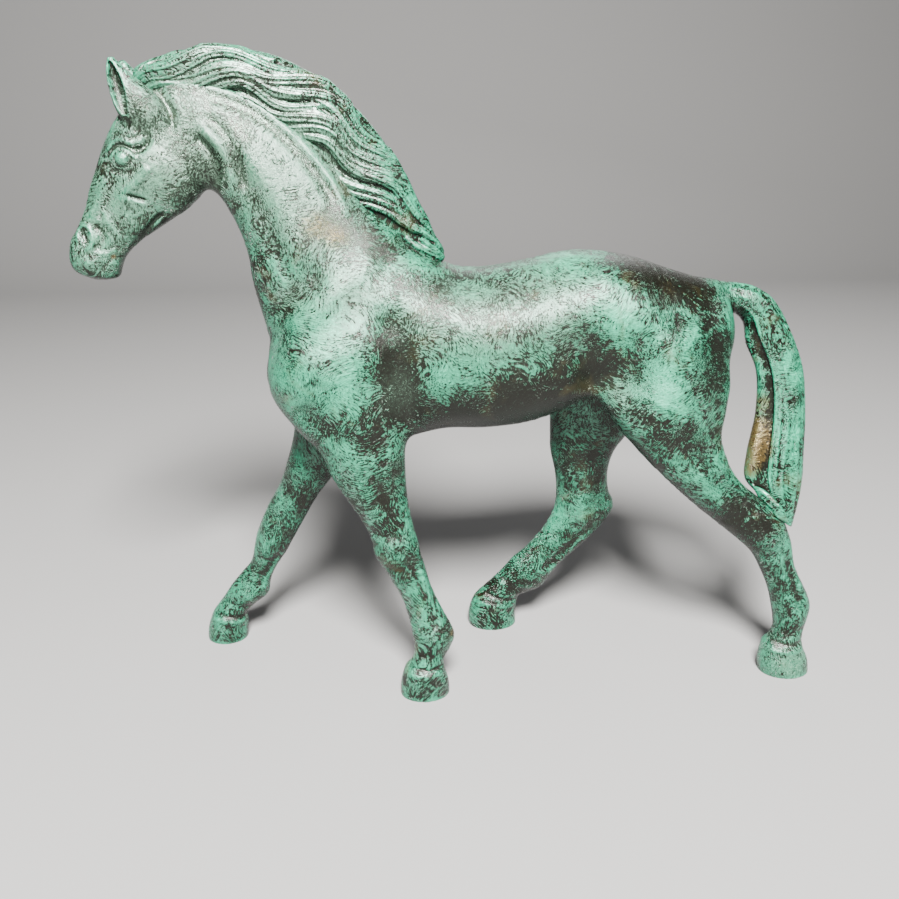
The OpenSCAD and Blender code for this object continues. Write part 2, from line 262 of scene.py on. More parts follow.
def soft_min(a, b, k):
    """Joins two distances with a fillet about k mm across."""
    h = np.maximum(k - np.abs(a - b), 0.0)
    return np.minimum(a, b) - h * h / (4 * k)


class Form:
    """One armature member of the clay, laid out over a side-view lattice: rows give its outline and girth."""

    def __init__(self, rows, full=2.0):
        self.rows = fair(rows, 14)
        self.full = full

    def lay_out(self, X, Z):
        r = self.rows
        best = np.full(X.shape, 1e9)
        self.t, self.s, self.e = (np.zeros(X.shape) for _ in range(3))
        for k, row in enumerate(r):
            dx, dz = row[2] - row[0], row[3] - row[1]
            length = math.hypot(dx, dz)
            dx, dz = dx / length, dz / length
            px, pz = X - (row[0] + row[2]) / 2, Z - (row[1] + row[3]) / 2
            e = px * dz - pz * dx
            s = px * dx + pz * dz
            over = np.maximum(np.abs(s) - 0.5 * length - 3, 0)
            cost = e * e + over * over
            take = cost < best
            best[take] = cost[take]
            self.t[take], self.s[take], self.e[take] = k, s[take], e[take]
        k = self.t.astype(int)
        last = len(r) - 1
        half = np.hypot(r[:, 2] - r[:, 0], r[:, 3] - r[:, 1]) / 2
        mid = (r[:, :2] + r[:, 2:4]) / 2
        gap = np.hypot(*np.diff(mid, axis=0).T)
        gap = np.append(gap, gap[-1])
        self.t = np.clip(k + np.clip(self.e / gap[k], -1, 1), 0, last)
        self.half = np.interp(self.t, range(last + 1), half)
        self.y = np.interp(self.t, range(last + 1), r[:, 4])
        self.w = np.interp(self.t, range(last + 1), r[:, 5])
        self.cap = np.where(k == 0, np.maximum(-self.e, 0), 0) + np.where(k == last, np.maximum(self.e, 0), 0)

    def distance(self, Y):
        u = (self.s / self.half)[:, None, :]
        dy = Y - self.y[:, None, :]
        v = dy / self.w[:, None, :]
        q = (np.abs(u) ** self.full + np.abs(v) ** self.full) ** (1 / self.full) + 1e-6
        r = np.sqrt(self.s[:, None, :] ** 2 + dy * dy)
        d = r * (1 - 1 / q)
        d = np.where(r < 1e-3, -np.minimum(self.half, self.w)[:, None, :], d)
        cap = self.cap[:, None, :]
        capped = np.where(d > 0, np.sqrt(d * d + cap * cap), np.maximum(d, cap))
        return np.where(cap > 0, capped, d), np.abs(v)


def path_distance(points, X, Z):
    """Distance to a smooth path, and how far along it the nearest point lies, from 0 to 1."""
    pts = fair([list(p) for p in points], 5) if len(points) > 2 else np.array(points, float)
    if len(pts) == 1:
        return np.hypot(X - pts[0, 0], Z - pts[0, 1]), np.full(X.shape, 0.5)
    best, along = np.full(X.shape, 1e9), np.zeros(X.shape)
    for i in range(len(pts) - 1):
        a, b = pts[i], pts[i + 1]
        ab = b - a
        t = np.clip(((X - a[0]) * ab[0] + (Z - a[1]) * ab[1]) / (ab @ ab), 0, 1)
        d = np.hypot(X - a[0] - ab[0] * t, Z - a[1] - ab[1] * t)
        near = d < best
        best[near] = d[near]
        along[near] = ((i + t) / (len(pts) - 1))[near]
    return best, along


def tooled(strokes, X, Z):
    """Height of the modelling over a side-view lattice.
    A stroke is (height, width, path), and cuts where its height is below zero."""
    H = np.zeros(X.shape)
    for height, width, points in strokes:
        d, along = path_distance(points, X, Z)
        faded = np.clip(np.minimum(along, 1 - along) * 6 + 0.35, 0, 1)
        ends = 1.0 if width > 4 or len(points) == 1 else faded
        H += height * ends * np.exp(-((d / width) ** 2))
    return H


# Muscles and hollows on the flank, the same on both sides.
flank_strokes = [
    (1.6, 15, [(-47, 165), (-45, 154)]),
    (-3.4, 9, [(-24, 178), (-21, 166), (-19, 152), (-19, 138)]),
    (-1.5, 5, [(-62, 142), (-53, 133), (-43, 129), (-32, 127)]),
    (2.2, 6.5, [(-66, 182), (-56, 190), (-46, 198), (-34, 206)]),
    (-1.5, 5, [(-72, 188), (-63, 196), (-58, 200)]),
    (-0.9, 7, [(-58, 174), (-48, 180), (-38, 186)]),
    (1.2, 9, [(-62, 164)]),
    (1.3, 11, [(-8, 186), (15, 180), (40, 184), (60, 192)]),
    (-1.3, 10, [(8, 198), (35, 200), (55, 203)]),
    (1.8, 10, [(73, 196), (82, 189)]),
    (-3.2, 9, [(64, 166), (66, 154)]),
    (1.3, 5, [(56, 147), (68, 146), (78, 139), (86, 129)]),
    (0.9, 18, [(104, 153), (101, 142)]),
    (1.2, 10, [(90, 176), (100, 167)]),
    (-1.4, 7, [(123, 184), (122, 166), (123, 150)]),
    (-1.0, 7, [(86, 168), (88, 156), (86, 144)]),
    (-1.2, 8, [(106, 126), (112, 116)]),
]
# The first is the crease behind the ear, which the head shares.
neck_strokes = [
    (-2.2, 2.5, [(-127, 285.5), (-121.5, 280.5), (-117, 274.5), (-114.3, 268.5), (-114.5, 263)]),
    (1.25, 2.0, [
        (-116, 281), (-108, 281.3), (-98, 280.5), (-88, 277.5), (-78, 272.5), (-70, 266),
        (-62, 259), (-55, 251), (-49, 243), (-45, 235), (-42, 228),
    ]),
    (-1.6, 2.6, [(-100, 276), (-88, 273), (-78, 267.5), (-68, 259), (-60, 250), (-53, 241), (-48, 232)]),
    (-1.4, 3.5, [(-91, 252), (-84, 238), (-78, 224), (-73, 211), (-68, 199)]),
    (1.0, 6, [(-97, 262), (-84, 252), (-73, 236), (-65, 216)]),
    (-2.0, 2.0, [(-105, 260), (-100, 255), (-97, 248), (-97, 240)]),
    (1.3, 2.2, [(-102, 264), (-96, 257), (-92, 249), (-91, 240), (-93, 233)]),
    (-1.3, 2.4, [(-99, 268), (-91, 259), (-86, 248), (-86, 238)]),
    (-1.2, 1.6, [(-40, 238), (-34, 231), (-26, 223), (-17, 214.5), (-10, 208.5)]),
]

trunk_form = Form(barrel, 2.12)
neck_form = Form(neck)
skull_form = Form(skull, 2.2)
leg_forms = [Form(near_fore), Form(off_fore), Form(near_hind), Form(off_hind)]
tail_form = Form(tail)


def on_leg(rows, *spots):
    """Side-view points on a leg or the tail.
    A spot is a row, in tenths of a row if need be, and a share of the half depth there."""
    points = []
    for row, share in spots:
        k = min(int(row), len(rows) - 2)
        here, after = np.array(rows[k][:4]), np.array(rows[k + 1][:4])
        x1, z1, x2, z2 = here + (row - k) * (after - here)
        points.append(((x1 + x2 + share * (x2 - x1)) / 2, (z1 + z2 + share * (z2 - z1)) / 2))
    return points


def leg_modelling(rows, knee, fetlock, coronet):
    """Forearm, knee or hock, cannon with its tendon, fetlock, pastern and coronet, placed by their rows."""
    return [
        (-1.0, 3.2, on_leg(rows, (knee - 3.4, 0.1), (knee - 2.2, 0.25), (knee - 1, 0.45))),
        (0.8, 5.0, on_leg(rows, (knee - 2.8, -0.4), (knee - 1.6, -0.3))),
        (1.0, 4.2, on_leg(rows, (knee + 0.1, -0.2), (knee + 0.6, -0.1))),
        (-0.6, 2.0, on_leg(rows, (knee - 0.9, -0.8), (knee - 0.8, 0.0), (knee - 0.6, 0.5))),
        (-0.6, 1.9, on_leg(rows, (knee + 1.4, -0.7), (knee + 1.4, 0.2))),
        (-0.9, 1.9, on_leg(rows, (knee + 0.9, 0.45), (fetlock - 1.6, 0.3), (fetlock - 0.7, 0.3))),
        (0.5, 1.8, on_leg(rows, (knee + 1.2, 0.75), (fetlock - 1.6, 0.72), (fetlock - 0.6, 0.7))),
        (0.7, 3.6, on_leg(rows, (fetlock, 0.0))),
        (-0.6, 1.8, on_leg(rows, (fetlock + 0.9, -0.8), (fetlock + 1.2, 0.0), (fetlock + 0.9, 0.8))),
        (-0.75, 1.0, on_leg(rows, (coronet - 0.5, -1.0), (coronet - 0.45, 0.0), (coronet - 0.5, 1.0))),
        (0.5, 1.1, on_leg(rows, (coronet + 0.05, -1.0), (coronet + 0.1, 0.0), (coronet + 0.05, 1.0))),
    ]


leg_strokes = [
    leg_modelling(near_fore, 6, 11.3, 14),
    leg_modelling(off_fore, 6, 10.2, 13),
    leg_modelling(near_hind, 6.8, 11.4, 14),
    leg_modelling(off_hind, 6.6, 10.4, 13),
]
eyeball, eyeball_r = (-134.6, 10.9, 250.9), 3.7
face_strokes = [
    neck_strokes[0],
    (1.2, 3.6, [(-131.5, 264), (-129.8, 260)]),
    (-1.4, 1.1, [(-134.8, 270.6), (-131, 270.4), (-127.6, 271.6)]),
    (-2.3, 1.5, [(-129.6, 254.2), (-126.4, 255.2), (-124.0, 258.4), (-124.4, 262.0)]),
    (-1.3, 1.5, [(-122.4, 265.6), (-120.8, 263.6)]),
    (1.0, 1.2, [(-142.2, 253.2), (-139.2, 257.4), (-135.2, 258.6), (-130.2, 256.8)]),
    (-0.8, 0.6, [(-140.8, 253.2), (-137.8, 256.1), (-134.4, 256.3), (-130.6, 254.6)]),
    (1.1, 0.8, [(-140.2, 250.6), (-138.4, 253.4), (-135.2, 254.7), (-132.0, 253.6), (-129.6, 250.8)]),
    (0.4, 0.8, [(-139.4, 249.4), (-137.4, 247.6), (-134.6, 247.0), (-131.8, 248.0), (-130.0, 250.0)]),
    (-0.4, 1.0, [(-140.2, 247.4), (-136.4, 245.0), (-132.2, 245.2), (-129.8, 247.0)]),
    (1.2, 2.4, [(-124, 248), (-129, 242), (-134, 237.8), (-138, 232.5)]),
    (-1.5, 0.8, [(-134.9, 235.8), (-131.5, 234.7), (-127.3, 233.5)]),
    (1.5, 10, [(-113, 246)]),
    (-2.4, 1.7, [(-107.5, 260), (-103, 256), (-99.6, 250), (-98.6, 244), (-100.4, 238.5)]),
    (-1.8, 1.0, [(-121.0, 227.6), (-124.0, 225.6), (-127.5, 221.8), (-131.5, 217.3), (-135.0, 213.2)]),
    (0.45, 1.3, [(-121, 224.8), (-127, 220), (-133, 213.6)]),
    (-0.8, 2.6, [(-139, 244), (-143.5, 234), (-147.8, 225)]),
    (0.7, 2.4, [(-143.5, 243), (-148, 232), (-152, 224)]),
    (-1.9, 1.3, [(-155.4, 219.4), (-154.8, 217.4), (-153.9, 215.2)]),
    (1.0, 0.95, [
        (-158.2, 216.4), (-157.8, 220.6), (-155.4, 222.8), (-152.4, 221.6),
        (-151.4, 218.0), (-152.0, 214.2), (-154.4, 212.0),
    ]),
    (-1.4, 1.9, [(-150.2, 223.0), (-147.6, 219.8), (-147.6, 216.2), (-150.3, 211.8)]),
    (-0.35, 0.7, [(-143.4, 209.6), (-145.6, 206.8), (-148.2, 204), (-150.0, 201.4)]),
    (0.8, 3.0, [(-142.8, 204.8)]),
    (0.8, 2.8, [(-154.5, 206.5)]),
    (-0.6, 1.2, [(-140.2, 212.4), (-143.5, 213.4), (-147, 211.8)]),
    (0.7, 1.6, [(-146.5, 229.5), (-143.0, 222.5), (-139.5, 217.0)]),
]
# Each ear is a tapered leaf, hollowed on its outer and front side.
ear_leaf = [
    [-116, 258, -131, 260, 6.6, 3.2],
    [-115.8, 268, -136.0, 269.5, 8.8, 5.8],
    [-120.5, 277.3, -137.8, 276, 9.6, 5.4],
    [-127.3, 283.4, -138.9, 282, 9.3, 4],
    [-132.2, 288.2, -138.9, 287, 9.4, 2.7],
    [-135.8, 291.6, -138.0, 291.2, 9.4, 1.1],
]
ear_hollow = [
    [-130.6, 268.6, -135.2, 269.0, 14.6, 2.6],
    [-130.8, 276, -137.6, 276, 14.8, 4.9],
    [-132.2, 282, -138.5, 281, 14.2, 4.8],
    [-134.4, 287, -138.5, 286, 13.0, 3.6],
    [-136.4, 290, -137.9, 289.6, 11.6, 1.8],
]
ear_form, ear_scoop = Form(ear_leaf), Form(ear_hollow)
tail_strokes = [
    (-2.6, 4.2, on_leg(tail, (3.6, -0.62), (5, -0.58), (6.5, -0.55), (8.2, -0.62))),
    (1.1, 1.1, on_leg(tail, (3.2, -0.2), (4.5, -0.08), (6, 0.0), (7.5, 0.05), (8.8, -0.1))),
    (-0.8, 1.5, on_leg(tail, (5, 0.45), (6.5, 0.5), (8.5, 0.4))),
]
# How wide the fillets are where one member of the clay runs into another, in mm.
fillets = {"neck": 12, "legs": 9, "head": 5, "ears": 2.5, "eyes": 0.4, "tail": 5}


def leaf_at(sign, X, Z, Y, form):
    form.lay_out(X, Z)
    return form.distance(Y * sign)[0]


def reach(form, X, Z, margin):
    """Whether a member comes within margin mm of the lattice."""
    for grid, ends in ((X, [0, 2]), (Z, [1, 3])):
        across = form.rows[:, ends]
        if grid.max() <= across.min() - margin or grid.min() >= across.max() + margin:
            return False
    return True


def clay(X, Z, Y, legs=True, tail_too=True):
    """Signed distance to the clay original, in mm, on a lattice whose side view is X, Z."""

    def worked(form, strokes):
        """A member with its strokes, which fade out towards its middle line."""
        form.lay_out(X, Z)
        d, side = form.distance(Y)
        start, whole = 0.1, 0.75
        if strokes:
            lift = np.clip((side - start) / (whole - start), 0, 1)
            d = d - tooled(strokes, X, Z)[:, None, :] * lift * lift * (3 - 2 * lift)
        return d

    far = 60.0
    d = np.full(np.broadcast(X[:, None, :], Y).shape, far)
    if reach(trunk_form, X, Z, 16):
        d = worked(trunk_form, [])
    if reach(neck_form, X, Z, 14):
        d = soft_min(d, worked(neck_form, neck_strokes), fillets["neck"])
    limbs = None
    for form, strokes in zip(leg_forms, leg_strokes):
        if legs and reach(form, X, Z, 14):
            one = worked(form, strokes)
            limbs = one if limbs is None else np.minimum(limbs, one)
    if limbs is not None:
        d = soft_min(d, limbs, fillets["legs"])
    if reach(trunk_form, X, Z, 4):
        side = np.clip((np.abs(Y) - 6) / 16, 0, 1)
        d = d - tooled(flank_strokes, X, Z)[:, None, :] * side * side * (3 - 2 * side)
    if reach(skull_form, X, Z, 10):
        d = soft_min(d, worked(skull_form, face_strokes), fillets["head"])
        x, y, z = eyeball
        for sign in (-1, 1):
            leaf = leaf_at(sign, X, Z, Y, ear_form)
            leaf = np.maximum(leaf, -leaf_at(sign, X, Z, Y, ear_scoop))
            d = soft_min(d, leaf, fillets["ears"])
            ball = np.sqrt((X[:, None, :] - x) ** 2 + (Y - sign * y) ** 2 + (Z[:, None, :] - z) ** 2)
            d = soft_min(d, ball - eyeball_r, fillets["eyes"])
    if tail_too and reach(tail_form, X, Z, 10):
        d = soft_min(d, worked(tail_form, tail_strokes), fillets["tail"])
    return d


def lattice(low, high, pitch):
    """Side view X, Z and depth Y of a box, with a point every pitch mm."""
    xs, ys, zs = (np.arange(a, b + pitch, pitch) for a, b in zip(low, high))
    X, Z = np.meshgrid(xs, zs, indexing="ij")
    return X, Z, ys[None, :, None]


def smoothed(d, passes):
    """The field after passes of a 1-2-1 blur along each axis."""
    for _ in range(passes):
        for axis in (0, 1, 2):
            pad = [(1, 1) if a == axis else (0, 0) for a in range(3)]
            p = np.pad(d, pad, mode="edge")
            n = d.shape[axis]
            cut = [slice(None)] * 3
            parts = []
            for start in (0, 1, 2):
                cut[axis] = slice(start, start + n)
                parts.append(p[tuple(cut)])
            d = 0.25 * parts[0] + 0.5 * parts[1] + 0.25 * parts[2]
    return d


def sampled(field, points, low, pitch):
    """Trilinear samples of a lattice field at points in mm."""
    g = (points - np.array(low)) / pitch
    i = np.clip(np.floor(g).astype(int), 0, np.array(field.shape) - 2)
    f = np.clip(g - i, 0, 1)
    share = (1 - f, f)
    out = 0
    for a in (0, 1):
        for b in (0, 1):
            for c in (0, 1):
                w = share[a][:, 0] * share[b][:, 1] * share[c][:, 2]
                out = out + w * field[i[:, 0] + a, i[:, 1] + b, i[:, 2] + c]
    return out


def section_plane(row):
    """Point and onward direction of a section, where one casting is brazed to the next."""
    dx, dz = row[2] - row[0], row[3] - row[1]
    length = math.hypot(dx, dz)
    return ((row[0] + row[2]) / 2, row[4], (row[1] + row[3]) / 2), (dz / length, 0.0, -dx / length)


# Where the brush was loaded (above zero) or the dark metal was left (below): x, z, reach, amount.
# Some dark dabs are painted shade: in the hollow behind the elbow, in the flank hollow and under the throat.
dabs_and_shade = [
    (-22, 161, 12, -0.68), (-19, 143, 10, -0.6), (4, 138, 13, -0.62), (26, 140, 14, -0.66),
    (46, 147, 11, -0.62), (24, 153, 8, -0.4), (66, 160, 9, -0.85), (59, 150, 7, -0.6),
    (100, 198, 12, -0.85), (116, 195, 10, -0.8), (84, 203, 9, -0.6), (124, 166, 8, -0.75),
    (121, 150, 8, -0.4), (92, 134, 9, -0.5), (106, 127, 10, -0.5), (85, 167, 7, -0.3), (-36, 135, 10, -0.4),
    (-77, 188, 10, -0.2), (-97, 243, 8, -0.5), (-36, 218, 12, -0.4), (8, 158, 13, 0.65), (-3, 150, 8, 0.5),
    (76, 181, 15, 0.6), (95, 147, 12, 0.8), (104, 170, 12, 0.3), (-66, 150, 12, 0.3), (-45, 152, 14, 0.35),
    (-60, 175, 14, 0.4), (-45, 190, 18, 0.3), (-72, 245, 22, 0.3), (168, 150, 10, 0.5), (166, 120, 9, 0.5),
    (168, 100, 8, 0.5), (150, 166, 6, -0.4), (168, 137, 4, -0.6), (170, 8, 9, 0.5), (150, 78, 6, -0.4),
    (-135, 251, 2.6, 0.4), (-113, 246, 9, -0.2), (-86, 262, 6, -0.3), (-120, 244, 10, 0.3),
    (-150, 214, 8, 0.35), (-143, 232, 12, 0.3), (-132, 238, 9, 0.25), (20, 200, 14, 0.1),
    (50, 203, 12, 0.35), (-52, 112, 12, 0.3), (-28, 108, 10, -0.3), (-26, 84, 7, -0.3), (138, 86, 11, -0.6),
    (122, 104, 10, 0.3), (70, 122, 10, 0.5), (70, 100, 9, -0.3), (64, 70, 9, 0.3), (-78, 92, 10, -0.3),
]
# Where the salts were washed thin and even: neck, face and the swell of the shoulder.
# Partly these are painted highlight: a pale tone on the neck and the shoulder ridge, along the top of the
# barrel and on the stifle fold, where the light falls brightest.
washes_and_highlights = [
    (-72, 246, 24, 0.9), (-98, 264, 18, 0.8), (-56, 222, 16, 0.7), (-40, 196, 14, 0.6),
    (-118, 246, 18, 0.8), (-142, 232, 18, 0.7), (-150, 212, 14, 0.6), (-10, 184, 14, 0.6),
    (18, 182, 16, 0.7), (46, 188, 16, 0.6), (-126, 270, 14, 0.7), (-100, 288, 18, 0.6), (-66, 270, 18, 0.6),
    (-40, 248, 14, 0.5), (170, 8, 10, 0.8), (-22, 150, 9, 0.4), (-66, 192, 9, 0.5), (78, 148, 7, 0.4),
]
# Where hands and cloth rubbed through to yellow bronze: the tail's inner face, the base of the neck,
# and stray edges.
rubs = [
    (151, 122, 8, 0.9), (149, 112, 7, 1.0), (153, 136, 6, 0.6), (147, 103, 4, 0.6), (-56, 223, 10, 0.62),
    (-45, 217, 7, 0.5), (101, 193, 9, 0.4), (84, 196, 4, 0.5), (-143.6, 209.2, 1.3, 0.9), (2, 31, 1.8, 0.8),
    (30, 12, 6, 0.4), (172, 8, 5, 0.35), (66, 201, 4, 0.4), (-22, 214, 8, 0.35),
]


def brushwork(spots, points):
    """How much of a kind of brushwork reaches each point, as seen from the side."""
    total = np.zeros(len(points))
    for x, z, size, amount in spots:
        total += amount * np.exp(-((points[:, 0] - x) ** 2 + (points[:, 2] - z) ** 2) / size**2)
    return total


def mark_points(mesh, name, values):
    mesh.attributes.new(name, "FLOAT", "POINT").data.foreach_set("value", values.astype(np.float32))


def fettle(bm):
    """Knocks off the fins, then the crumbs: only the largest joined-up piece stays."""
    for _ in range(3):
        fins = [f for f in bm.faces if any(len(e.link_faces) == 1 for e in f.edges)]
        bmesh.ops.delete(bm, geom=fins, context="FACES")
    left, largest, crumbs = set(bm.verts), set(), []
    while left:
        front = [left.pop()]
        island = set(front)
        while front:
            for e in front.pop().link_edges:
                for v in e.verts:
                    if v in left:
                        left.discard(v)
                        island.add(v)
                        front.append(v)
        if len(island) > len(largest):
            largest, island = island, largest
        crumbs += island
    bmesh.ops.delete(bm, geom=crumbs, context="VERTS")


def cast(name, low, high, pitch, field, cuts):
    """Pours one casting: the clay inside a box, cut at the planes where it meets its neighbours.
    A cut is (point, direction, zone): inside its zone, what lies ahead of the point goes."""
    X, Z, Y = lattice(low, high, pitch)
    d = field(X, Z, Y)
    # Positive on ridges and negative in hollows; the finish turns it into painted light on ridges and painted
    # shade in hollows.
    ridge = smoothed(d, max(2, round(4 / pitch))) - d
    band = 3 * pitch
    grid = openvdb.FloatGrid(band)
    grid.copyFromArray(np.ascontiguousarray(np.clip(d, -band, band), dtype=np.float32))
    points, quads = grid.convertToQuads(isovalue=0.0)
    points = points * pitch + np.array(low)
    ridge_light_hollow_shade = sampled(ridge, points, low, pitch)
    mesh = bpy.data.meshes.new(name)
    shift = np.array([withers_x, 0, 0])
    mesh.from_pydata(((points + shift) * mm).tolist(), [], quads[:, ::-1].tolist())
    mark_points(mesh, "ridge_light_hollow_shade", np.clip(ridge_light_hollow_shade, -0.4, 0.4))
    for kind, spots, least in (("dabbed_and_shaded", dabs_and_shade, -1), ("washed_and_lit", washes_and_highlights, 0), ("rubbed", rubs, 0)):
        mark_points(mesh, kind, np.clip(brushwork(spots, points), least, 1))
    bm = bmesh.new()
    bm.from_mesh(mesh)
    for point, ahead, zone in cuts:
        centre = (Vector(point) + Vector((withers_x, 0, 0))) * mm
        lo = [v * mm for v in (zone[0] + withers_x, zone[1], zone[2])]
        hi = [v * mm for v in (zone[3] + withers_x, zone[4], zone[5])]
        verts = {v for v in bm.verts if all(a < c < b for a, c, b in zip(lo, v.co, hi))}
        faces = [f for f in bm.faces if all(v in verts for v in f.verts)]
        edges = [e for e in bm.edges if all(v in verts for v in e.verts)]
        whole = list(verts) + edges + faces
        on = Vector(ahead)
        got = bmesh.ops.bisect_plane(
            bm, geom=whole, plane_co=centre, plane_no=on, clear_outer=True, dist=1e-7
        )
        rim = [e for e in got["geom_cut"] if isinstance(e, bmesh.types.BMEdge) and e.is_boundary]
        if rim:
            bmesh.ops.triangle_fill(bm, use_beauty=False, edges=rim, normal=on)
        for e in rim:
            e.smooth = False
    fettle(bm)
    for f in bm.faces:
        f.smooth = True
    bmesh.ops.recalc_face_normals(bm, faces=bm.faces[:])
    bm.to_mesh(mesh)
    bm.free()
    mesh.validate()
    return set_out(name, mesh)


def place(tree, kind, sockets=None, **settings):
    """Adds a node, sets its fields, and fills or links its inputs by name or number."""
    n = tree.nodes.new(kind)
    for field, value in settings.items():
        setattr(n, field, value)
    for key, value in (sockets or {}).items():
        if isinstance(value, bpy.types.NodeSocket):
            tree.links.new(value, n.inputs[key])
        else:
            n.inputs[key].default_value = value
    return n.outputs


def calc(tree, operation, a, b=0.0, c=0.0):
    return place(tree, "ShaderNodeMath", {0: a, 1: b, 2: c}, operation=operation)[0]


def vector_calc(tree, operation, a, b=(0, 0, 0), scale=1.0):
    return place(tree, "ShaderNodeVectorMath", {0: a, 1: b, 3: scale}, operation=operation)[0]


def blot(tree, where, across, detail=2.0, rough=0.5, twist=0.0):
    """Noise from 0 to 1 whose blots are about across mm wide."""
    fields = {"Vector": where, "Scale": 1.0 / across, "Detail": detail}
    return place(tree, "ShaderNodeTexNoise", {**fields, "Roughness": rough, "Distortion": twist})[0]


def step_between(tree, value, low, high):
    return place(tree, "ShaderNodeMapRange", {0: value, 1: low, 2: high}, interpolation_type="SMOOTHSTEP")[0]


def blend_colour(tree, share, a, b):
    return place(tree, "ShaderNodeMix", {0: share, 6: a, 7: b}, data_type="RGBA")[2]


def new_group(name, kind, inputs, outputs):
    """A node group, with what it is given and what it gives out."""
    tree = bpy.data.node_groups.new(name, kind)
    for socket, sort, value in inputs:
        made = tree.interface.new_socket(name=socket, in_out="INPUT", socket_type="NodeSocket" + sort)
        if value is not None:
            made.default_value = value
    for socket, sort in outputs:
        tree.interface.new_socket(name=socket, in_out="OUTPUT", socket_type="NodeSocket" + sort)
    return tree, tree.nodes.new("NodeGroupInput").outputs, tree.nodes.new("NodeGroupOutput").inputs


# Brushed verdigris: copper salts dabbed on with a stiff brush over dark liver bronze, then waxed.
# The finish also paints light and shade: paler on ridges, darker in hollows and on undersides, with painted
# highlight in some washes and painted shade in some dabs.
patina, given, gives = new_group(
    "brushed_verdigris",
    "ShaderNodeTree",
    [("Place", "Vector", None)]
    + [(field, "Float", 0.0) for field in ("Ridge_light_hollow_shade", "Dabbed_and_shaded", "Washed_and_lit", "Rubbed")]
    + [("Cover", "Float", 0.5), ("Stroke", "Float", 6.0), ("Patch", "Float", 15.0)],
    [("Colour", "Color"), ("Roughness", "Float"), ("Metallic", "Float"), ("Height", "Float")],
)

# Bristle marks: long noise bent by a slow swirl, lying level in some places and upright in others.
in_mm = vector_calc(patina, "SCALE", given["Place"], scale=1 / mm)
swirl = place(patina, "ShaderNodeTexNoise", {"Vector": in_mm, "Scale": 1 / 34.0, "Detail": 1.0})[1]
swirl = vector_calc(patina, "SCALE", vector_calc(patina, "SUBTRACT", swirl, (0.5, 0.5, 0.5)), scale=52.0)
swept = vector_calc(patina, "ADD", in_mm, swirl)
along = calc(patina, "DIVIDE", 1.0, given["Stroke"])
bristle_width = 0.62
level = place(patina, "ShaderNodeCombineXYZ", {0: along, 1: 1 / bristle_width, 2: 1 / bristle_width})[0]
upright = place(patina, "ShaderNodeCombineXYZ", {0: 1 / bristle_width, 1: 1 / bristle_width, 2: along})[0]
strokes_level = blot(patina, vector_calc(patina, "MULTIPLY", swept, level), 1.0, 3.0, 0.6)
strokes_upright = blot(patina, vector_calc(patina, "MULTIPLY", swept, upright), 1.0, 3.0, 0.6)
which = step_between(patina, blot(patina, in_mm, 24.0, 2.0, 0.5), 0.46, 0.56)
bristle = place(patina, "ShaderNodeMix", {0: which, 2: strokes_level, 3: strokes_upright})[0]
across_patch = calc(patina, "DIVIDE", 1.0, given["Patch"])
patch_noise = {"Vector": in_mm, "Scale": across_patch, "Detail": 6.0, "Roughness": 0.62, "Distortion": 0.5}
patches = place(patina, "ShaderNodeTexNoise", patch_noise)[0]
ragged = blot(patina, in_mm, 3.6, 6.0, 0.72, 0.6)
stipple = blot(patina, in_mm, 0.9, 3.0, 0.7)
grain = blot(patina, in_mm, 0.42, 2.0, 0.65)

# How thick the salts lie: each noise has its share; painted light on ridges and painted shade in hollows, the
# dabs (some of them painted shade) and painted shade on undersides raise or lower it.
facing = place(patina, "ShaderNodeNewGeometry")["Normal"]
up = place(patina, "ShaderNodeSeparateXYZ", {0: facing})[2]
# Undersides get thinner salts and go darker: painted shade.
under = calc(patina, "MINIMUM", up, 0.0)
noise = 0.0
for part, share in ((patches, 0.95), (bristle, 1.7), (ragged, 0.95), (stipple, 0.7)):
    noise = calc(patina, "MULTIPLY_ADD", part, share, calc(patina, "ADD", noise, -share / 2))
calm = calc(patina, "MULTIPLY_ADD", given["Washed_and_lit"], -0.55, 1.0)
total = calc(patina, "MULTIPLY_ADD", noise, calm, given["Cover"])
for part, share in ((given["Ridge_light_hollow_shade"], 0.55), (given["Dabbed_and_shaded"], 0.40), (under, 0.20)):
    total = calc(patina, "MULTIPLY_ADD", part, share, total)
ramp = place(patina, "ShaderNodeValToRGB", {0: total})
tones = ramp[0].node.color_ramp
tones.elements[0].position = 0.30
tones.elements[0].color = (0.005, 0.005, 0.003, 1)
tones.elements[1].position = 1.05
tones.elements[1].color = (0.026, 0.215, 0.128, 1)
for position, colour in (
    (0.44, (0.008, 0.009, 0.005, 1)),
    (0.48, (0.004, 0.019, 0.009, 1)),
    (0.53, (0.003, 0.048, 0.025, 1)),
    (0.66, (0.003, 0.092, 0.047, 1)),
    (0.86, (0.006, 0.150, 0.080, 1)),
):
    tones.elements.new(position).color = colour
# Over them come brown scuffs, thin pale washes that are partly painted highlight, light flecks, and gold
# where the metal is rubbed through.
scuffs = step_between(patina, blot(patina, in_mm, 19.0, 4.0, 0.6, 0.5), 0.59, 0.69)
ground = blend_colour(patina, calc(patina, "MULTIPLY", scuffs, 0.4), ramp[0], (0.038, 0.033, 0.012, 1))
mottle = calc(patina, "MULTIPLY_ADD", stipple, 0.5, calc(patina, "MULTIPLY", grain, 0.5))
mottle = step_between(patina, calc(patina, "MULTIPLY_ADD", bristle, 0.35, mottle), 0.56, 0.80)
wash_and_highlight_tone = blend_colour(patina, mottle, (0.007, 0.014, 0.008, 1), (0.095, 0.170, 0.117, 1))
washed_and_lit = calc(patina, "MULTIPLY", given["Washed_and_lit"], step_between(patina, noise, -0.45, 0.15))
veiled_and_lit = blend_colour(patina, calc(patina, "MULTIPLY", washed_and_lit, 0.75), ground, wash_and_highlight_tone)
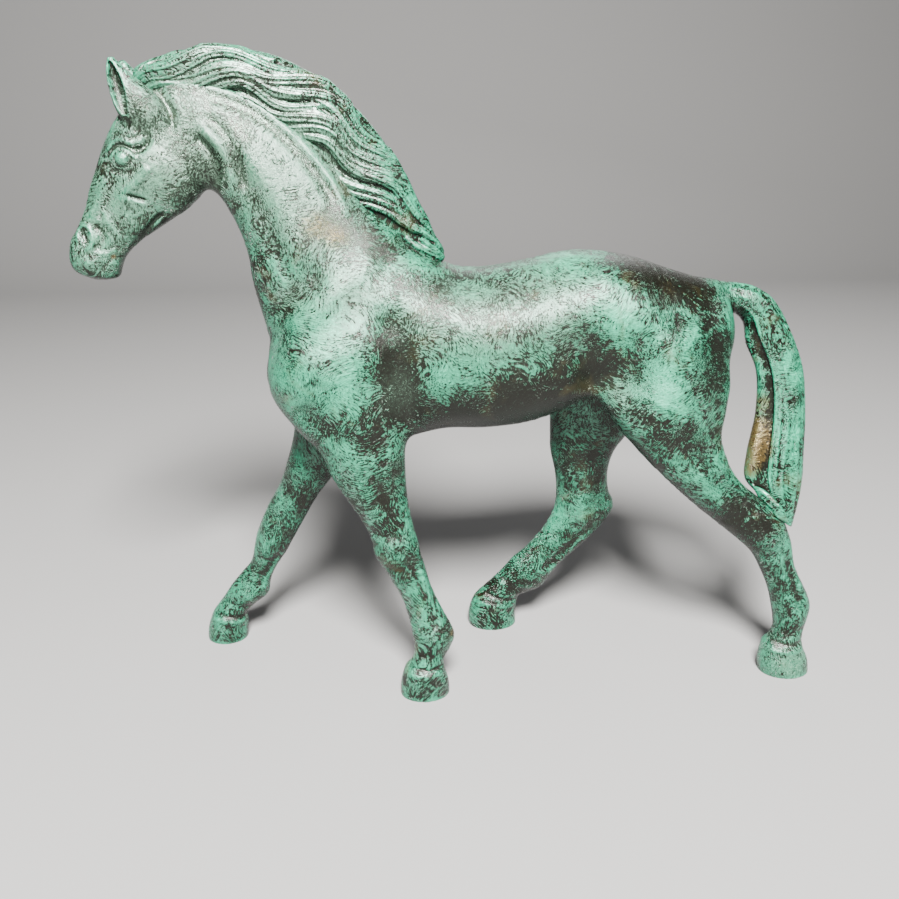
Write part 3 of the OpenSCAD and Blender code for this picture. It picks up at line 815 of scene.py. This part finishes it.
flecks = step_between(patina, calc(patina, "MULTIPLY", stipple, grain), 0.33, 0.42)
speckled = blend_colour(patina, calc(patina, "MULTIPLY", flecks, 0.25), veiled_and_lit, (0.16, 0.33, 0.23, 1))
broken = calc(patina, "MULTIPLY_ADD", bristle, 3.2, calc(patina, "MULTIPLY_ADD", stipple, 1.6, -2.5))
thin = calc(patina, "ADD", given["Rubbed"], calc(patina, "MULTIPLY", broken, given["Rubbed"]))
gold = step_between(patina, thin, 0.30, 0.90)
polished = blend_colour(patina, calc(patina, "MULTIPLY", gold, 0.85), speckled, (0.090, 0.062, 0.021, 1))
# Bare metal is smooth and metallic, and the salts are dull and stand up as a crust.
covered = step_between(patina, total, 0.42, 0.56)
rough = calc(patina, "MULTIPLY_ADD", covered, 0.07, 0.21)
rough = calc(patina, "MULTIPLY_ADD", ragged, 0.14, calc(patina, "ADD", rough, -0.05))
bare = calc(patina, "MULTIPLY_ADD", covered, -0.52, 0.64)
bare = calc(patina, "MAXIMUM", bare, calc(patina, "MULTIPLY", gold, 0.75))
crust = calc(patina, "MULTIPLY", stipple, 0.75)
for part, share in ((covered, 0.40), (ragged, 0.7), (grain, 0.45)):
    crust = calc(patina, "MULTIPLY_ADD", part, share, crust)
for socket, value in (("Colour", polished), ("Roughness", rough), ("Metallic", bare), ("Height", crust)):
    patina.links.new(value, gives[socket])


def patinated(name, cover, stroke, patch, relief):
    """A finish with the brushed verdigris at its own cover, brush stroke, patch size and relief in mm."""
    material = bpy.data.materials.new(name)
    material.use_nodes = True
    tree = material.node_tree
    shader = tree.nodes["Principled BSDF"]
    where = place(tree, "ShaderNodeTexCoord")["Object"]
    sockets = {"Place": where, "Cover": cover, "Stroke": stroke, "Patch": patch}
    # These attributes carry painted light and shade as well as brushwork: light on ridges and shade in
    # hollows, dabs partly painted shade, washes partly painted highlight.
    for field in ("Ridge_light_hollow_shade", "Dabbed_and_shaded", "Washed_and_lit", "Rubbed"):
        sockets[field] = place(tree, "ShaderNodeAttribute", attribute_name=field.lower())["Fac"]
    finish = place(tree, "ShaderNodeGroup", node_tree=patina)
    for field, value in sockets.items():
        socket = finish[0].node.inputs[field]
        if isinstance(value, bpy.types.NodeSocket):
            tree.links.new(value, socket)
        else:
            socket.default_value = value
    salts = {"Height": finish["Height"], "Distance": relief * mm, "Strength": 1.0}
    bump = place(tree, "ShaderNodeBump", salts)[0]
    for socket, value in (
        ("Base Color", finish["Colour"]),
        ("Roughness", finish["Roughness"]),
        ("Metallic", finish["Metallic"]),
        ("Normal", bump),
    ):
        tree.links.new(value, shader.inputs[socket])
    shader.inputs["Specular IOR Level"].default_value = 0.60
    shader.inputs["Coat Weight"].default_value = 0.04
    shader.inputs["Coat Roughness"].default_value = 0.30
    return material


verdigris = patinated("verdigris", cover=0.47, stroke=5.0, patch=15.0, relief=0.30)


def finish_casting(ob, node, finish):
    """Colours a casting and sets it in the place of its plain solid."""
    ob.data.materials.append(finish)
    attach(ob, "root")
    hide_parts(node)


def joint(row, zone, back=False):
    """A cut at a section, onward or back, inside a zone: low x, y, z, high x, y, z."""
    point, ahead = section_plane(row)
    return point, tuple(-v for v in ahead) if back else ahead, zone


everywhere = (-400, -400, -400, 400, 400, 400)
neck_root, poll, tail_root = neck[2], neck[8], tail[2]
leg_roots = [near_fore[3], off_fore[3], near_hind[4], off_hind[4]]
body_cuts = [
    joint(neck_root, (-100, -60, 160, 30, 60, 300)),
    joint(tail_root, (128, -30, 174, 200, 30, 220)),
    joint(leg_roots[0], (-70, -60, -10, 30, 0, 126)),
    joint(leg_roots[1], (-130, 0, -10, -20, 60, 122)),
    joint(leg_roots[2], (60, -60, -10, 200, 0, 128)),
    joint(leg_roots[3], (10, 0, -10, 130, 60, 116)),
]
body = cast("body", (-86, -44, 88), (146, 44, 220), 1.0, clay, body_cuts)
finish_casting(body, "body_casting", verdigris)


# Neck casting.
# A hollow tube of cast bronze between withers and poll, with the crest rolled along its top.
# It fits over a riveted sleeve at each end, and is brazed to the body and to the head.
def neck_clay(X, Z, Y):
    return clay(X, Z, Y, legs=False)


neck_cuts = [joint(neck_root, everywhere, True), joint(poll, everywhere)]
neck_cast = cast("neck", (-112, -28, 172), (2, 28, 292), 0.9, neck_clay, neck_cuts)
finish_casting(neck_cast, "neck_casting", verdigris)


# Head casting.
# The finest pour of the set, in the same bronze: eyes, nostrils, lips and jaw are cut in the wax
# before it is cast. It is brazed to the neck at the poll, and the ears are cast apart from it.
ear_cuts = []
for sign, inner, outer in ((-1, -20, -1.2), (1, 1.2, 20)):
    zone = (-143, inner, 263.5, -112, outer, 296)
    ear_cuts.append(((-126, sign * 8.5, 272), (-0.30, sign * 0.80, 0.52), zone))
head_cuts = [joint(poll, everywhere, True)] + ear_cuts
head = cast("head", (-169, -19, 195), (-94, 19, 296), 0.5, clay, head_cuts)
finish_casting(head, "head_casting", verdigris)


# Ears.
# Two small bronze leaves, hollowed towards the front and side.
# Each is cast by itself, then pinned and brazed to the poll.
for (point, ahead, _), name, inner, outer in zip(ear_cuts, ("near_ear", "off_ear"), (-16, 1), (-1, 16)):
    root_cut = (point, tuple(-v for v in ahead), everywhere)
    ear = cast(name + "_leaf", (-143, inner, 262), (-112, outer, 294), 0.4, clay, [root_cut])
    finish_casting(ear, name, verdigris)


# Mane casting.
# Long wavy locks modelled one by one over a thin core, then poured in bronze in one piece.
# It is pinned along the crest of the neck.
mane_rows = [
    [-126, 278.5, -130, 287, 0, 2.5],
    [-119, 278, -121, 293, 0, 5],
    [-107, 279, -107, 296.8, 0, 6.5],
    [-94, 276, -90, 298.2, 0, 7.5],
    [-81, 270, -71.2, 296.1, 0, 8],
    [-69, 261, -53.4, 288.2, 0, 8.5],
    [-58, 250, -38, 277, 0, 8.5],
    [-49, 239, -26, 264, 0, 8.5],
    [-40, 228, -15.5, 247.5, 0, 8.5],
    [-29, 217, -7, 231, 0, 8],
    [-18, 208, -0.8, 216.5, 0, 7],
    [-9, 203.2, 1.8, 207.2, 0, 3.5],
]
crest_and_edge = fair(mane_rows, 10)
# The core under the locks is thinner than the mane and stops short of its edge.
core_short, core_thin = 0.09, 0.80
mane_core = []
for x1, z1, x2, z2, y, w in mane_rows:
    mane_core.append([x1, z1, x2 - core_short * (x2 - x1), z2 - core_short * (z2 - z1), y, core_thin * w])


def on_mane(along, out, side):
    """A point on the mane's face: along from forelock (0) to withers (1), out from crest (0) to edge (1)."""
    k = np.clip(np.asarray(along, float), 0, 1) * (len(crest_and_edge) - 1)
    r = [np.interp(k, range(len(crest_and_edge)), crest_and_edge[:, j]) for j in range(6)]
    out = np.asarray(out, float)
    girth = core_thin * r[5] * np.sqrt(np.clip(1 - (2 * np.clip(out, 0.02, 1) - 1) ** 2 * 0.93, 0, 1))
    return np.stack([r[0] + out * (r[2] - r[0]), side * girth, r[1] + out * (r[3] - r[1])], -1)


def hair_tree(name, lobes):
    """Sweeps a ribbed strand along each guide, with the guide's own taper and twist."""
    sizes = [("Strand radius", "Float", 0.002), ("Rib depth", "Float", 0.13)]
    inputs = [("Guides", "Geometry", None)] + sizes + [("Finish", "Material", None)]
    tree, given, gives = new_group(name, "GeometryNodeTree", inputs, [("Hair", "Geometry")])
    points = 4 * lobes
    ring = place(tree, "GeometryNodeCurvePrimitiveCircle", {"Resolution": points})[0]
    turn = calc(tree, "MULTIPLY", place(tree, "GeometryNodeInputIndex")[0], 2 * math.pi / points)
    rib = calc(tree, "COSINE", calc(tree, "MULTIPLY", turn, float(lobes)))
    swell = calc(tree, "MULTIPLY_ADD", rib, given["Rib depth"], 1.0)
    skin = calc(tree, "MULTIPLY", swell, given["Strand radius"])
    x = calc(tree, "MULTIPLY", calc(tree, "COSINE", turn), skin)
    y = calc(tree, "MULTIPLY", calc(tree, "SINE", turn), skin)
    spot = place(tree, "ShaderNodeCombineXYZ", {0: x, 1: y})[0]
    profile = place(tree, "GeometryNodeSetPosition", {"Geometry": ring, "Position": spot})[0]
    line = place(tree, "GeometryNodeMeshToCurve", {"Mesh": given["Guides"]})[0]
    twist = place(tree, "GeometryNodeInputNamedAttribute", {"Name": "twist"}, data_type="FLOAT")[0]
    line = place(tree, "GeometryNodeSetCurveTilt", {"Curve": line, "Tilt": twist})[0]
    taper = place(tree, "GeometryNodeInputNamedAttribute", {"Name": "taper"}, data_type="FLOAT")[0]
    sweep_inputs = {"Curve": line, "Profile Curve": profile, "Scale": taper, "Fill Caps": True}
    strand = place(tree, "GeometryNodeCurveToMesh", sweep_inputs)[0]
    whole = place(tree, "GeometryNodeRealizeInstances", {"Geometry": strand})[0]
    dressed = place(tree, "GeometryNodeSetMaterial", {"Geometry": whole, "Material": given["Finish"]})[0]
    tree.links.new(dressed, gives["Hair"])
    return tree


def grown(name, guides, radius, ribs, lobes, finish):
    """Bakes strands along guides and gives their points, in mm, and triangles.
    A guide is (points in mm, taper, twist)."""
    mesh = bpy.data.meshes.new(name)
    points = np.concatenate([g[0] for g in guides]) * mm
    edges, start = [], 0
    for g in guides:
        edges += [(start + i, start + i + 1) for i in range(len(g[0]) - 1)]
        start += len(g[0])
    mesh.from_pydata(points.tolist(), edges, [])
    for field, j in (("taper", 1), ("twist", 2)):
        values = np.concatenate([np.broadcast_to(g[j], len(g[0])) for g in guides])
        mark_points(mesh, field, values)
    ob = set_out(name, mesh)
    tree = hair_tree(name + "_strands", lobes)
    modifier = ob.modifiers.new("strands", "NODES")
    modifier.node_group = tree
    sockets = {i.name: i.identifier for i in tree.interface.items_tree if i.in_out == "INPUT"}
    modifier[sockets["Strand radius"]] = radius * mm
    modifier[sockets["Rib depth"]] = ribs
    modifier[sockets["Finish"]] = finish
    bpy.context.view_layer.update()
    baked = bpy.data.meshes.new_from_object(ob.evaluated_get(bpy.context.evaluated_depsgraph_get()))
    bpy.data.objects.remove(ob)
    co = np.empty(len(baked.vertices) * 3)
    baked.vertices.foreach_get("co", co)
    baked.calc_loop_triangles()
    tris = np.empty(len(baked.loop_triangles) * 3, np.int32)
    baked.loop_triangles.foreach_get("vertices", tris)
    bpy.data.meshes.remove(baked)
    return co.reshape(-1, 3) / mm, tris.reshape(-1, 3)


def strand_field(points, tris, low, shape, pitch):
    """Signed distance to baked strands on a lattice, in mm, true within a few steps of their skin."""
    grid = openvdb.FloatGrid.createLevelSetFromPolygons(
        ((points - np.array(low)) / pitch).astype(np.float32),
        triangles=tris.astype(np.uint32),
        transform=openvdb.createLinearTransform(1.0),
        halfWidth=5.0,
    )
    field = np.full(shape, 5.0, np.float32)
    grid.copyToArray(field)
    return field.astype(float) * pitch


verdigris_on_hair = patinated("verdigris_on_hair", cover=0.46, stroke=4.0, patch=12.0, relief=0.12)
draw = np.random.default_rng(11)
locks = []
# Each tier: how many locks, how far out from the crest they start, how far on they climb.
tiers = ((11, 0.04, 0.62), (10, 0.30, 0.50), (9, 0.55, 0.34))
outermost, topmost = 0.87, 294.6
for side in (-1, 1):
    for tier, (count, start_out, climb_out) in enumerate(tiers):
        for k in range(count):
            begin = -0.05 + (k + draw.uniform(0.25, 0.75)) / count * 0.97
            low_down = float(np.clip((begin - 0.40) / 0.35, 0, 1))
            run = (0.36 - 0.20 * low_down) * draw.uniform(0.9, 1.15)
            t = np.linspace(0, 1, 30)
            along = np.clip(begin + run * t, 0, 1)
            swell = (0.11 - 0.07 * low_down) * draw.uniform(0.85, 1.15)
            bend = 2 * math.pi * (along * 4.2 + 0.10 * tier) + draw.uniform(-0.35, 0.35)
            out = start_out + draw.uniform(-0.03, 0.05) + climb_out * t ** draw.uniform(1.0, 1.4)
            out = out + swell * np.sin(bend) * np.clip(3 * t, 0, 1)
            path = on_mane(along, np.clip(out, 0.0, outermost), side)
            girth = draw.uniform(0.85, 1.25) * (1 - 0.30 * low_down)
            root = 0.5 + 0.5 * np.sin(0.5 * math.pi * np.clip(2 * t, 0, 1))
            taper = girth * root * np.clip((1 - t) * 3.0, 0.15, 1) ** 0.6
            lift = 0.45 * draw.uniform(0.2, 1.2)
            path[:, 1] += side * lift * np.sin(math.pi * t)
            path[:, 2] = np.minimum(path[:, 2], topmost)
            locks.append((path, taper, draw.uniform(-0.5, 0.5) * t))
edge_locks = 16
for k in range(edge_locks):
    t = np.linspace(0, 1, 22)
    along = np.clip(-0.02 + k / edge_locks + 0.16 * t, 0, 1)
    out = 0.80 + 0.03 * np.sin(2 * math.pi * (t + draw.uniform(0, 1))) * t - 0.1 * (1 - t) ** 2
    path = on_mane(along, out, 1)
    path[:, 1] = draw.uniform(-1.6, 1.6) + 1.4 * np.sin(2 * math.pi * (0.8 * t + draw.uniform(0, 1)))
    locks.append((path, draw.uniform(0.8, 1.1) * np.clip(np.minimum(t, 1 - t) * 4, 0.15, 1) ** 0.6, t * 0.5))
mane_low, mane_high, mane_pitch = (-134, -10.5, 200), (5, 10.5, 301), 0.45
mane_bed = 1.2
hair_ribs = {"radius": 2.6, "ribs": 0.13, "lobes": 9, "finish": verdigris_on_hair}
lock_points, lock_tris = grown("mane_locks", locks, **hair_ribs)


def mane_clay(X, Z, Y):
    """Locks over the core, cut away where the neck is, but for the depth they are bedded in it."""
    core_form = Form(mane_core)
    core_form.lay_out(X, Z)
    core = core_form.distance(Y)[0]
    hair = strand_field(lock_points, lock_tris, mane_low, core.shape, mane_pitch)
    d = soft_min(core, hair, 0.9)
    neck_form.lay_out(X, Z)
    return np.maximum(d, -(neck_form.distance(Y)[0] + mane_bed))


mane_cast = cast("mane", mane_low, mane_high, mane_pitch, mane_clay, [])
finish_casting(mane_cast, "mane_casting", verdigris_on_hair)


# Legs.
# Four solid bronze castings, with tendons, fetlock and hoof modelled in the wax.
# Each is doweled and brazed to its stub on the body, and its sole is filed flat.
legs = (
    ("near_fore", (-64, -44, -2), (12, -4, 116)),
    ("off_fore", (-128, 6, -2), (-34, 44, 112)),
    ("near_hind", (84, -44, -2), (188, -8, 120)),
    ("off_hind", (10, 4, -2), (108, 44, 110)),
)
sole_cut = ((0, 0, 0), (0, 0, -1), everywhere)


def leg_clay(X, Z, Y):
    return clay(X, Z, Y, tail_too=False)


for (name, low, high), root in zip(legs, leg_roots):
    leg = cast(name, low, high, 0.7, leg_clay, [joint(root, everywhere, True), sole_cut])
    finish_casting(leg, name + "_leg", verdigris)


# Tail casting.
# One long bronze casting, its locks modelled over a tapering core.
# It is doweled at the root and pinned where its tip rests on the near hock.
tail_rows = fair(tail, 10)
tail_low, tail_high, tail_pitch = (136, -40, 64), (190, 14, 200), 0.6
tail_zone = (128, -30, 150, 200, 30, 220)


def on_tail(along, turn):
    """A point on the tail's skin: along from root (0) to tip (1), turn in degrees from its outer edge."""
    k = np.clip(along, 0, 1) * (len(tail_rows) - 1)
    r = [np.interp(k, range(len(tail_rows)), tail_rows[:, j]) for j in range(6)]
    a = np.radians(turn)
    half_x, half_z = (r[2] - r[0]) / 2, (r[3] - r[1]) / 2
    inset = 0.94
    x = (r[0] + r[2]) / 2 + inset * half_x * np.cos(a)
    z = (r[1] + r[3]) / 2 + inset * half_z * np.cos(a)
    return np.stack([x, r[4] + inset * r[5] * np.sin(a), z], -1)


strands = []
tail_locks = 22
for k in range(tail_locks):
    t = np.linspace(0, 1, 44)
    first, last = draw.uniform(0.08, 0.45), draw.uniform(0.86, 0.985)
    if k % 3 == 0:
        first = 0.12
    along = first + (last - first) * t
    base = -118 + 236 * (k + 0.5) / tail_locks
    turn = base + draw.uniform(4, 8) * np.sin(2 * math.pi * (along * 1.6 + draw.uniform(-0.08, 0.08)))
    taper = draw.uniform(0.7, 1.15) * np.clip(np.minimum(3.5 * t, 5 * (1 - t)), 0.15, 1) ** 0.7
    strands.append((on_tail(along, turn), taper, draw.uniform(-0.6, 0.6) * t))
# Three more locks lie over the hock.
for rise in (0.0, 2.6, -2.2):
    t = np.linspace(0, 1, 16)
    x = np.interp(t, (0, 0.35, 0.7, 1), (148, 153, 158.5, 164))
    z = np.interp(t, (0, 0.35, 0.7, 1), (97, 91.5, 86, 80)) + rise * np.sin(math.pi * t)
    y = np.interp(t, (0, 0.35, 0.7, 1), (-23, -28.5, -33, -32))
    strands.append((np.stack([x, y, z], -1), np.clip(np.minimum(4 * t, 3 * (1 - t)), 0.2, 1) ** 0.7, 0.4 * t))
tail_ribs = {"radius": 1.3, "ribs": 0.16, "lobes": 5, "finish": verdigris_on_hair}
tail_points, tail_tris = grown("tail_strands", strands, **tail_ribs)


def tail_clay(X, Z, Y):
    """Locks over the core, cut away where the near hind leg is."""
    d = clay(X, Z, Y, legs=False)
    d = soft_min(d, strand_field(tail_points, tail_tris, tail_low, d.shape, tail_pitch), 0.7)
    leg = leg_forms[2]
    leg.lay_out(X, Z)
    return np.maximum(d, -leg.distance(Y)[0])


tail_cast = cast("tail", tail_low, tail_high, tail_pitch, tail_clay, [joint(tail_root, tail_zone, True)])
finish_casting(tail_cast, "tail_casting", verdigris_on_hair)


# Sleeves, dowels, rivets and pins.
# Machined bronze hardware, sealed inside the joints when they are brazed, so it keeps its bare metal.
# The plugs of the core's vent and chaplet holes are hammered flush and coloured with the skin.
bare_bronze = bpy.data.materials.new("bare_bronze")
bare_bronze.use_nodes = True
bare_tree = bare_bronze.node_tree
metal = bare_tree.nodes["Principled BSDF"]
turned = place(bare_tree, "ShaderNodeTexCoord")["Object"]
turned = vector_calc(bare_tree, "SCALE", turned, scale=1 / mm)
tarnish = blot(bare_tree, turned, 3.0, 4.0, 0.6)
marks = blot(bare_tree, turned, 0.25, 2.0, 0.5)
tone = blend_colour(bare_tree, tarnish, (0.42, 0.25, 0.10, 1), (0.68, 0.46, 0.22, 1))
dull = calc(bare_tree, "MULTIPLY_ADD", tarnish, 0.3, 0.2)
tool_marks = place(bare_tree, "ShaderNodeBump", {"Height": marks, "Distance": 0.02 * mm})[0]
for socket, value in (("Base Color", tone), ("Roughness", dull), ("Normal", tool_marks)):
    bare_tree.links.new(value, metal.inputs[socket])
metal.inputs["Metallic"].default_value = 1.0
hardware = ("neck_sleeve", "poll_sleeve", "sleeve_rivets", "leg_dowels", "tail_dowel", "small_pins")
for names, finish in ((hardware, bare_bronze), (("vent_plug", "chaplet_plugs"), verdigris)):
    for name in names:
        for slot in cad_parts[name].material_slots:
            slot.material = finish
